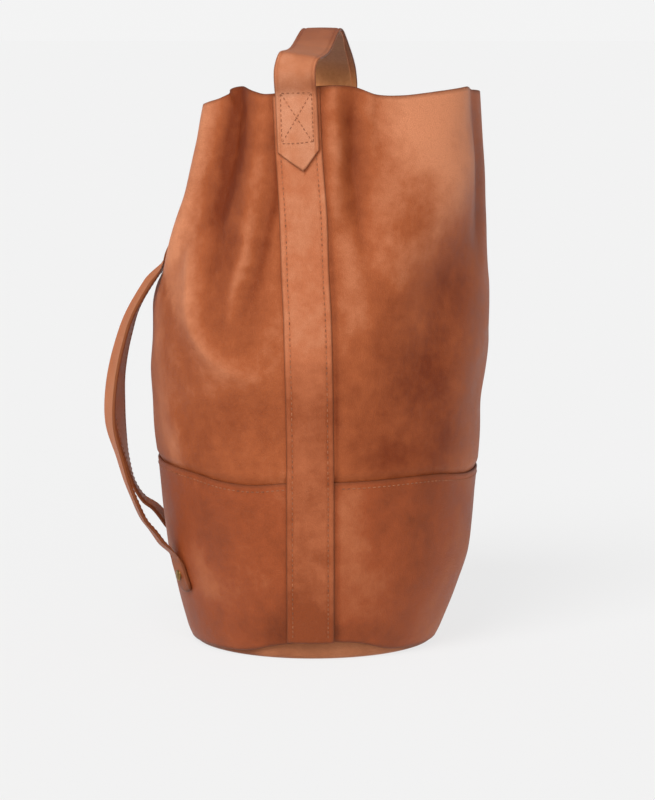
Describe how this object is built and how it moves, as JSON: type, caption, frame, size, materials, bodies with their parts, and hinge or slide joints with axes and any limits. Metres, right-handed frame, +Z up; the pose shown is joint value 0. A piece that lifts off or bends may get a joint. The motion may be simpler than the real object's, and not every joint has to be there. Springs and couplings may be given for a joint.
{
  "type": "bucket bag",
  "caption": "Open-topped leather bucket backpack with a stitched lower cuff, side strips, an arched carry handle and shoulder straps on the back.",
  "frame": {"origin": "centre of the underside of the base, on the surface the bag stands on", "axes": "+X to the bag's front, -X to its back and shoulder straps, -Y to its left side, +Z up through the mouth"},
  "size_m": [0.3022, 0.2588, 0.482],
  "materials": {
    "panel_leather": "vegetable-tanned full-grain leather, cognac tan, soft satin, broad creases",
    "cuff_leather": "vegetable-tanned full-grain leather, slightly darker tan, satin",
    "strip_leather": "vegetable-tanned strap leather, lighter tan, fine grain, stitched edges",
    "strap_leather": "vegetable-tanned strap leather, tan, burnished edges",
    "lining_leather": "bare flesh side of the leather, matt brown",
    "base_leather": "thicker tan leather, satin",
    "base_board": "pressed fibre board",
    "rivet_brass": "antique brass, domed rivet head",
    "snap_steel": "nickel-plated magnetic snap"
  },
  "bodies": {
    "bag": {"upper_panel_front": "panel_leather", "upper_panel_back": "panel_leather", "lower_cuff_front": "cuff_leather", "lower_cuff_back": "cuff_leather", "side_strip_left": "strip_leather", "side_strip_right": "strip_leather", "base_pan": "base_leather", "base_board": "base_board", "base_lining": "lining_leather", "handle_end_left": "strip_leather", "handle_end_right": "strip_leather", "strap_upper_end_left": "strap_leather", "strap_upper_end_right": "strap_leather", "strap_lower_end_left": "strap_leather", "strap_lower_end_right": "strap_leather", "strap_rivet_left": "rivet_brass", "strap_rivet_right": "rivet_brass", "strap_hanger_patch": "strap_leather", "snap_patch_front": "lining_leather", "snap_patch_back": "lining_leather", "snap_socket": "snap_steel", "snap_stud": "snap_steel"},
    "handle": {"handle_strap": "strip_leather", "handle_lining": "lining_leather"},
    "strap_left": {"shoulder_strap_left": "strap_leather"},
    "strap_right": {"shoulder_strap_right": "strap_leather"}
  },
  "joints": [
    {"name": "handle_swing", "type": "hinge", "parent": "bag", "child": "handle", "pos_m": [-0.0126, -0.1115, 0.441], "axis": [0.149, 0.9886, -0.0222], "range_deg": [-35, 35], "stiffness_Nm_per_rad": 0.08},
    {"name": "strap_swing_left", "type": "hinge", "parent": "bag", "child": "strap_left", "pos_m": [-0.1271, -0.02656, 0.2868], "axis": [-0.0565, 0.1038, 0.993], "range_deg": [-15, 30], "stiffness_Nm_per_rad": 0.05},
    {"name": "strap_swing_right", "type": "hinge", "parent": "bag", "child": "strap_right", "pos_m": [-0.12574, 0.02656, 0.2868], "axis": [0.0499, 0.1039, -0.9933], "range_deg": [-15, 30], "stiffness_Nm_per_rad": 0.05}
  ]
}
